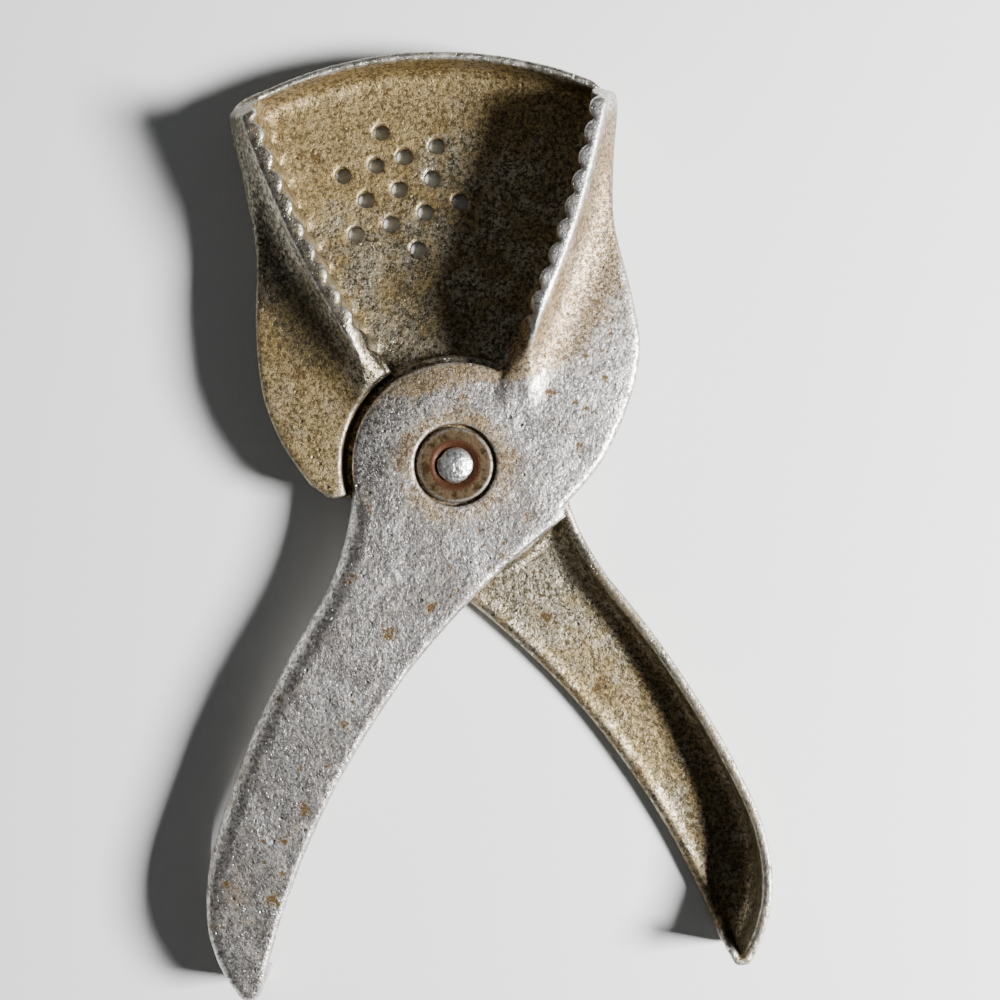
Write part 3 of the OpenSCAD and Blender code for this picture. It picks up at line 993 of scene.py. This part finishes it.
@dataclass
class LowerLever(Casting):
    """Seat, drilled pan with its rim, fixed jaw, left-hand flange and the lower handle."""

    seat_r: float = 22.8
    rim_centre: tuple[float, float] = (-3.2, 0.0)
    rim_r: float = 84.1
    rim_top: float = 12.0
    rim_width: float = 1.5
    rim_from: float = 77.0
    pan_from: float = 8.0
    pan_right_r: float = 193.7
    pan_left_r: float = 196.4
    pan_right_corner: float = 4.6
    pan_left_corner: float = 4.0
    pan_fillet: float = 3.4
    floor: float = 2.6
    dish_middle: tuple[float, float] = (-2.0, 54.0)
    dish_flat_r: float = 10.0
    dish_r: float = 330.0
    collar_half_width: float = 1.5
    collar_drop: float = 0.2
    collar_middle: float = 155.4
    collar_half_turn: float = 35.4
    mm_per_degree: float = 0.4
    hole_middle: tuple[float, float] = (-7.5, 58.8)
    hole_turn: float = 13.3
    hole_r: float = 1.62
    hole_rows: tuple[tuple[float, tuple[float, ...]], ...] = (
        (12.3, (0.0,)),
        (6.2, (-10.3, -3.1, 3.1, 10.3)),
        (0.0, (-7.3, 0.0, 7.3)),
        (-6.3, (-11.4, -3.8, 3.8, 11.4)),
        (-13.2, (0.0,)),
    )
    handle: Handle = field(default_factory=Handle)
    jaw: Jaw = field(
        default_factory=lambda: Jaw(
            Side.LOWER, foot=6.4, underside=0.0, near=20.5, reach=79.2, end=84.4, rib_h=1.1
        )
    )

    def holes(self) -> list[np.ndarray]:
        """Middles of the drain holes in plan."""
        a = unit(self.hole_turn)
        b = unit(self.hole_turn + 90)
        return [np.array(self.hole_middle) + x * a + y * b for y, row in self.hole_rows for x in row]

    def pan(self, grid: Grid) -> tuple[np.ndarray, np.ndarray]:
        """The drilled pan with its rim.

        Args:
            grid: The grid to sample on.

        Returns:
            The pan's field and the field of its plan.
        """
        px, py = grid.plan()
        z = grid.z
        rim = np.hypot(px - self.rim_centre[0], py - self.rim_centre[1]) - self.rim_r
        right = round_max(rim, bow_distance(px, py) - self.pan_right_r, self.pan_right_corner)
        left = round_max(rim, bow_distance(-px, py) - self.pan_left_r, self.pan_left_corner)
        plan = np.maximum(np.maximum(right, left), self.pan_from - py).astype(np.float32)
        away = np.hypot(px - self.dish_middle[0], py - self.dish_middle[1])
        lift = np.maximum(away * away - self.dish_flat_r**2, 0) / (2 * self.dish_r)
        band = round_max(-plan - self.rim_width, z - self.rim_top, 0.6)
        band = blend_max(band, (self.rim_from - np.hypot(px, py)).astype(np.float32), 0.8)
        dish = blend_min((z - self.floor - lift).astype(np.float32), band, self.pan_fillet)
        dish = round_max(np.maximum(dish, (lift - z).astype(np.float32)), plan, 0.6)
        for hx, hy in self.holes():
            dish = blend_max(dish, (self.hole_r - np.hypot(px - hx, py - hy)).astype(np.float32), 0.5)
        return dish, plan

    def field(self, grid: Grid) -> np.ndarray:
        """The lower lever's field, negative inside."""
        px, py = grid.plan()
        z = grid.z
        radius = np.hypot(px, py).astype(np.float32)
        pan, plan = self.pan(grid)
        jaw = np.maximum(self.jaw.field(grid), plan)
        flange = self.flange(grid, SEAT_EDGE, SEAT_INSIDE, mirrored=True)
        half = self.collar_half_width
        collar = np.maximum(np.abs(radius - self.seat_r - half) - half, z - self.top + self.collar_drop)
        turn = np.abs(np.degrees(np.arctan2(py, px)) % 360 - self.collar_middle)
        ends = (turn - self.collar_half_turn) * self.mm_per_degree
        collar = np.maximum(collar, ends).astype(np.float32)
        upper = self.jaw.joined(grid, jaw, flange, 8.0)
        upper = np.minimum(upper, collar)
        upper = np.minimum(blend_min(upper, pan, 1.6), np.minimum(upper, pan))
        upper = np.maximum(upper, -z)
        upper = np.maximum(upper, self.seat_r - radius)
        seat = round_max(radius - self.seat_r, z - self.lap + self.half_gap, 0.4)
        seat = round_max(seat, -z, 0.6)
        body = blend_min(upper, seat, 0.8)
        body = np.maximum(blend_min(body, self.handle.field(grid, Side.LOWER), 2.4), -z)
        body = np.maximum(body, -np.maximum(radius - self.seat_r, self.lap - self.half_gap - z))
        body = blend_max(body, -np.maximum(radius - self.sinking_r, z - self.sinking), 0.4)
        return np.maximum(body, self.pin_r - radius)

    def marks(self, points: np.ndarray) -> tuple[np.ndarray, np.ndarray]:
        """Olive and gold tarnish; painted shade on the fixed jaw's outer face, painted shadow on the
        pan's low end, and darker along the handle towards its tip.
        """
        x, y, z = points.T
        over = fade(z, -0.5, 1.5) * (1 - 0.8 * fade(z, 16, 20))
        rim = fade(np.hypot(x - self.rim_centre[0], y), 58, 82) * fade(y, 30, 50) * fade(z, 13, 10)
        flange = fade(x, -14, -22) * fade(y, 44, 24) * fade(y, -18, -10)
        floor = fade(z, 1, 2.5) * fade(z, 7.5, 6) * fade(y, 20, 30)
        upper_left = floor * fade(x, 12, -22) * fade(y, 44, 66)
        # Painted shadow on the pan floor by the hub and under the moving jaw, where their shade falls
        pan_shadow = floor * fade(y + 0.7 * x, 52, 22) * fade(x, -16, -2)
        handle, handle_end = fade(y, -20, -40), fade(y, -66, -96)
        # The fixed jaw's outer face and its fillet, turned from the key light, get black painted shade
        out = bow_distance(-x, y) - 193.0
        back = fade(out, 0.8, 2.3) * fade(out, 14.5, 9.5) * fade(z, 12, 15) * fade(y, 16, 26)
        grime = over * (0.45 * rim + 0.6 * flange + 0.22 * floor + 0.42 * upper_left + 0.35 * handle)
        # Second value: painted shade on the jaw's outer face, painted shadow on the pan's low end, and
        # darker along the handle
        return grime, 0.85 * back + 0.75 * pan_shadow + 0.22 * handle + 0.3 * handle_end


@dataclass
class UpperLever(Casting):
    """Round hub, right-hand flange, moving jaw and the upper handle."""

    hub_r: float = 20.8
    foot_reach: float = 76.6
    foot_top: float = 12.4
    swept_r: float = 23.2
    bore_gap: float = 0.03
    changes: tuple[tuple[float, float], ...] = ((20, 1.1), (50, -0.9))
    change_length: float = 9.0
    handle: Handle = field(default_factory=Handle)
    jaw: Jaw = field(
        default_factory=lambda: Jaw(Side.UPPER, foot=4.6, underside=5.6, near=22.0, reach=76.8, end=81.6)
    )

    def edge(self) -> Corners:
        """Outer edge of the flange, which swells beside the hub and narrows beside the jaw."""
        rows = []
        for x, y in FLANGE_EDGE:
            wider = sum(by * bell(y, at, self.change_length) for at, by in self.changes)
            rows.append((x + wider, y))
        return rows

    def field(self, grid: Grid) -> np.ndarray:
        """The upper lever's field, negative inside."""
        px, py = grid.plan()
        z = grid.z
        radius = np.hypot(px, py).astype(np.float32)
        jaw = self.jaw.field(grid)
        jaw = np.maximum(jaw, np.minimum(radius - self.foot_reach, self.foot_top - z))
        flange = self.flange(grid, self.edge(), FLANGE_INSIDE, mirrored=False)
        hub = round_max(radius - self.hub_r, z - self.top, 1.0)
        hub = round_max(hub, self.lap + self.half_gap - z, 0.5)
        body = self.jaw.joined(grid, jaw, np.minimum(flange, hub), 7.0)
        body = np.minimum(body, self.handle.field(grid, Side.UPPER))
        body = np.maximum(body, -np.maximum(radius - self.swept_r, z - self.lap - self.half_gap))
        body = blend_max(body, -np.maximum(radius - self.sinking_r, self.top - self.sinking - z), 0.5)
        return np.maximum(body, self.pin_r + self.bore_gap - radius)

    def marks(self, points: np.ndarray) -> tuple[np.ndarray, np.ndarray]:
        """Gold staining beside the jaw and round the rivet; painted shade on the hub's left shoulder and
        a painted dark reflection on the jaw's outer face.
        """
        x, y, z = points.T
        radius = np.hypot(x, y)
        out = bow_distance(x, y) - 194.6
        beside = bell(np.maximum(out, 0), 0, 10) * fade(y, 12, 24) * fade(y, 72, 58)
        beside = beside * fade(z, 12, 13.5) * fade(z, 21.5, 17.5)
        rivet = bell(radius, 9.5, 3.2)
        under = fade(z, 12.5, 10.5)
        handle = fade(y, -30, -60)
        # The hub's left shoulder, turned from the key light, gets painted shade, both black and as
        # darker tarnish
        shoulder_shade = fade(0.6 * y - x, 2, 24) * fade(y, -14, -2) * fade(radius, 23, 19)
        # Painted dark reflection on the moving jaw's outer face and fillet
        side = fade(out, 0.5, 2) * fade(out, 5.5, 2.5) * fade(z, 16, 18) * fade(y, 16, 26)
        grime = 1.7 * beside + 0.55 * rivet + 0.2 * under + 0.14 * handle + 0.25 * shoulder_shade
        return grime, 0.9 * shoulder_shade + 0.6 * side


# -------------------------------------------------------------- turned pieces


@dataclass
class Turned:
    """A piece turned about the pin's axis from an outline, with slight hand-made unevenness."""

    name: str
    node: str
    slot: str
    outline: list[tuple[float, float]]
    unevenness: float
    sides: int = 144

    def build(self, finish: bpy.types.Material, rusty_within: float) -> bpy.types.Object:
        """Turns the piece.

        Args:
            finish: Its material.
            rusty_within: Radius inside which it is stained.

        Returns:
            The piece, riding on the lower lever's body.
        """
        profile = self._finer(np.array(self.outline, float))
        angles = np.linspace(0, 2 * math.pi, self.sides, endpoint=False)
        rng = np.random.default_rng(len(self.name))
        wobble = np.ones((len(angles), len(profile)))
        lift = np.zeros_like(wobble)
        spread = (profile[:, 0] / profile[:, 0].max())[None, :]
        for k in range(2, 7):
            phase = rng.uniform(0, 6.28, 2)
            wobble += self.unevenness * 0.25 / k * np.cos(k * angles + phase[0])[:, None]
            lift += self.unevenness * 0.2 / k * np.cos(k * angles + phase[1])[:, None] * spread
        r = profile[None, :, 0] * np.minimum(wobble, 1.0)
        height = profile[None, :, 1] + lift
        points = np.stack([r * np.cos(angles)[:, None], r * np.sin(angles)[:, None], height], 2)
        n, m = self.sides, len(profile)
        i, j = np.meshgrid(np.arange(n), np.arange(m), indexing="ij")
        here, there = i * m, ((i + 1) % n) * m
        up = (j + 1) % m
        faces = np.stack([here + j, there + j, there + up, here + up], -1).reshape(-1, 4)
        piece = mesh_piece(self.name, points.reshape(-1, 3), faces, self.node, "lower")
        rad = np.hypot(*points.reshape(-1, 3)[:, :2].T)
        put_mark(piece, "grime", np.clip((rusty_within - rad) / 0.5 + 0.5, 0, 1))
        slopes = np.gradient(profile, axis=0)
        bend = np.abs(np.gradient(np.unwrap(np.arctan2(slopes[:, 1], slopes[:, 0]))))
        put_mark(piece, "wear", np.tile(np.clip(bend * 1.2, 0, 1), n))
        piece.data.materials.append(finish)
        return piece

    @staticmethod
    def _finer(outline: np.ndarray, step: float = 0.16) -> np.ndarray:
        """Closed outline with its corners rounded and points every step or so."""
        rows = []
        count = len(outline)
        for i in range(count):
            a, b = outline[i], outline[(i + 1) % count]
            parts = max(1, int(np.linalg.norm(b - a) / step))
            rows += [a + (b - a) * k / parts for k in range(parts)]
        line = np.array(rows)
        for _ in range(2):
            line = 0.25 * np.roll(line, 1, 0) + 0.5 * line + 0.25 * np.roll(line, -1, 0)
        return line


# ---------------------------------------------------------------------- studio


@dataclass
class Studio:
    """Pale floor, soft lights and the camera straight above the tool."""

    camera_mm: tuple[float, float, float] = (8.42, -7.68, 290.0)
    turn_deg: float = -4.5
    lens: float = 49.5
    key_direction: tuple[float, float, float] = (0.78, -0.20, 0.62)
    key_distance: float = 0.75
    key_size: float = 0.19
    key_watts: float = 29.0
    fill_place: tuple[float, float, float] = (-0.5, 0.35, 0.9)
    fill_size: float = 0.9
    fill_watts: float = 0.3
    sky: float = 0.07
    floor_half: float = 3.0
    floor_gap: float = 0.0002

    def build(self) -> None:
        """Sets up floor, lights, world and camera."""
        self._floor()
        key = Vector(self.key_direction).normalized() * self.key_distance
        self._light("key", key, self.key_size, self.key_watts)
        self._light("fill", Vector(self.fill_place), self.fill_size, self.fill_watts)
        world = bpy.data.worlds.new("studio")
        world.use_nodes = True
        background = world.node_tree.nodes["Background"]
        background.inputs["Color"].default_value = (0.95, 0.97, 1.0, 1)
        background.inputs["Strength"].default_value = self.sky
        bpy.context.scene.world = world
        data = bpy.data.cameras.new("camera")
        data.lens = self.lens
        data.sensor_width = 36
        data.clip_start = 0.01
        camera = bpy.data.objects.new("camera", data)
        camera.matrix_world = Matrix.Translation(Vector(self.camera_mm) * MM) @ Matrix.Rotation(
            math.radians(self.turn_deg), 4, "Z"
        )
        bpy.context.scene.collection.objects.link(camera)
        bpy.context.scene.camera = camera

    @staticmethod
    def _light(name: str, place: Vector, size: float, watts: float) -> None:
        """Adds a square area light aimed at the tool."""
        data = bpy.data.lights.new(name, "AREA")
        data.size = size
        data.energy = watts
        lamp = bpy.data.objects.new(name, data)
        lamp.location = place
        lamp.rotation_mode = "QUATERNION"
        lamp.rotation_quaternion = (-place).to_track_quat("-Z", "Y")
        bpy.context.scene.collection.objects.link(lamp)

    def _floor(self) -> None:
        """Adds the pale floor just under the tool."""
        mesh = bpy.data.meshes.new("floor")
        signs = ((-1, -1), (1, -1), (1, 1), (-1, 1))
        corners = [(i * self.floor_half, j * self.floor_half, 0) for i, j in signs]
        mesh.from_pydata(corners, [], [(0, 1, 2, 3)])
        floor = bpy.data.objects.new("floor", mesh)
        floor.location = (0, 0, -self.floor_gap)
        bpy.context.scene.collection.objects.link(floor)
        material = bpy.data.materials.new("pale_floor")
        material.use_nodes = True
        shader = material.node_tree.nodes["Principled BSDF"]
        shader.inputs["Base Color"].default_value = (0.72, 0.73, 0.72, 1)
        shader.inputs["Roughness"].default_value = 0.8
        mesh.materials.append(material)


LOWER_FINISH = CastAluminium(
    name="stained_casting",
    bright=(0.58, 0.52, 0.40, 1),
    dull=(0.062, 0.050, 0.029, 1),
    tarnish=(0.36, 0.245, 0.080, 1),
    tarnish_dark=(0.060, 0.040, 0.011, 1),
    spot=(0.075, 0.042, 0.012, 1),
    edge=(0.78, 0.76, 0.72, 1),
    tarnish_share=0.12,
    roughness=0.36,
    seed=11,
)
UPPER_FINISH = CastAluminium(
    name="handled_casting",
    bright=(0.97, 0.93, 0.89, 1),
    dull=(0.21, 0.19, 0.178, 1),
    tarnish=(0.27, 0.160, 0.022, 1),
    tarnish_dark=(0.060, 0.031, 0.005, 1),
    spot=(0.10, 0.060, 0.018, 1),
    edge=(0.90, 0.89, 0.88, 1),
    tarnish_share=0.0,
    roughness=0.37,
    seed=23,
)
UPPER_SPOTS: Spots = (
    (-16, -33, 2.2, 1.0), (-26, -50, 1.6, 0.8), (-35.5, -66, 2.3, 0.8), (-43, -84, 2.4, 1.0),
    (-40, -72, 1.8, 0.9), (-7, -28, 1.4, 0.8), (14, -12, 1.5, 0.8), (25, 2, 1.8, 0.8),
    (31, 15, 1.6, 0.9), (20, 13, 1.7, 0.9), (-23, -21, 2.0, 0.9), (-52, -80, 1.8, 0.5),
    (-47, -95, 1.7, 0.7), (-55.4, -74, 2.6, 0.5), (-56.2, -81, 2.8, 0.55), (-55.6, -88, 2.6, 0.5),
    (8, -19, 1.3, 0.9), (33, 24, 1.2, 0.9), (27, 9, 1.3, 0.9), (28, 20, 1.0, 0.9),
    (-30, -58, 1.2, 0.8),
)
LOWER_SPOTS: Spots = (
    (-30, 20, 2.4, 0.8), (-33, 4, 2.0, 0.9), (16, -33, 2.4, 0.9), (26, -48, 2.6, 0.8),
    (33, -66, 2.2, 0.7), (-10, 50, 3.6, 0.8), (-24, 66, 2.0, 0.7), (-34, 34, 2.0, 0.7),
)


def build_tool() -> list[bpy.types.Object]:
    """Builds every piece of the nutcracker.

    Returns:
        The pieces.
    """
    lower = LowerLever("lower_lever", "lower", "lower_casting", LOWER_FINISH, LOWER_SPOTS)
    upper = UpperLever("upper_lever", "upper", "upper_casting", UPPER_FINISH, UPPER_SPOTS)
    pieces = [lower.build(), upper.build()]
    pin_r, dome_r, dome_from, dome_h, axis_gap = 3.175, 3.7, 14.45, 1.5, 0.02
    dome = [(dome_r * unit(a)[0], dome_from + dome_h * unit(a)[1]) for a in range(0, 90, 6)]
    shank = [(axis_gap, 0), (3.4, 0), (pin_r, 0.8), (pin_r, 14.15)]
    outline = [*shank, *dome, (axis_gap, dome_from + dome_h)]
    rivet = Turned("rivet", "pivot_pin", "pin_metal", outline, 0.35)
    pieces.append(rivet.build(PeenedSteel().material(), 0.0))
    rust = RustedSteel().material()
    ring = [(3.2, 0.02), (7.6, 0.02), (7.65, 0.3), (7.65, 1.2), (7.3, 1.5), (4.6, 1.5), (3.2, 0.6)]
    upper_seat, lower_seat = 13.25, 1.78
    face_up = [(r, upper_seat + h) for r, h in ring]
    face_down = [(r, lower_seat - h) for r, h in reversed(ring)]
    for name, node, outline in (
        ("top_washer", "upper_washer", face_up),
        ("underside_washer", "lower_washer", face_down),
    ):
        pieces.append(Turned(name, node, "washer_metal", outline, 0.05).build(rust, 5.2))
    return pieces


def main() -> None:
    """Loads the frame, builds the tool and lights it."""
    logging.basicConfig(level=logging.INFO, format="%(name)s: %(message)s")
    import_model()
    for piece in build_tool():
        LOG.info("%s: %d faces", piece.name, len(piece.data.polygons))
    Studio().build()


if __name__ == "__main__":
    main()
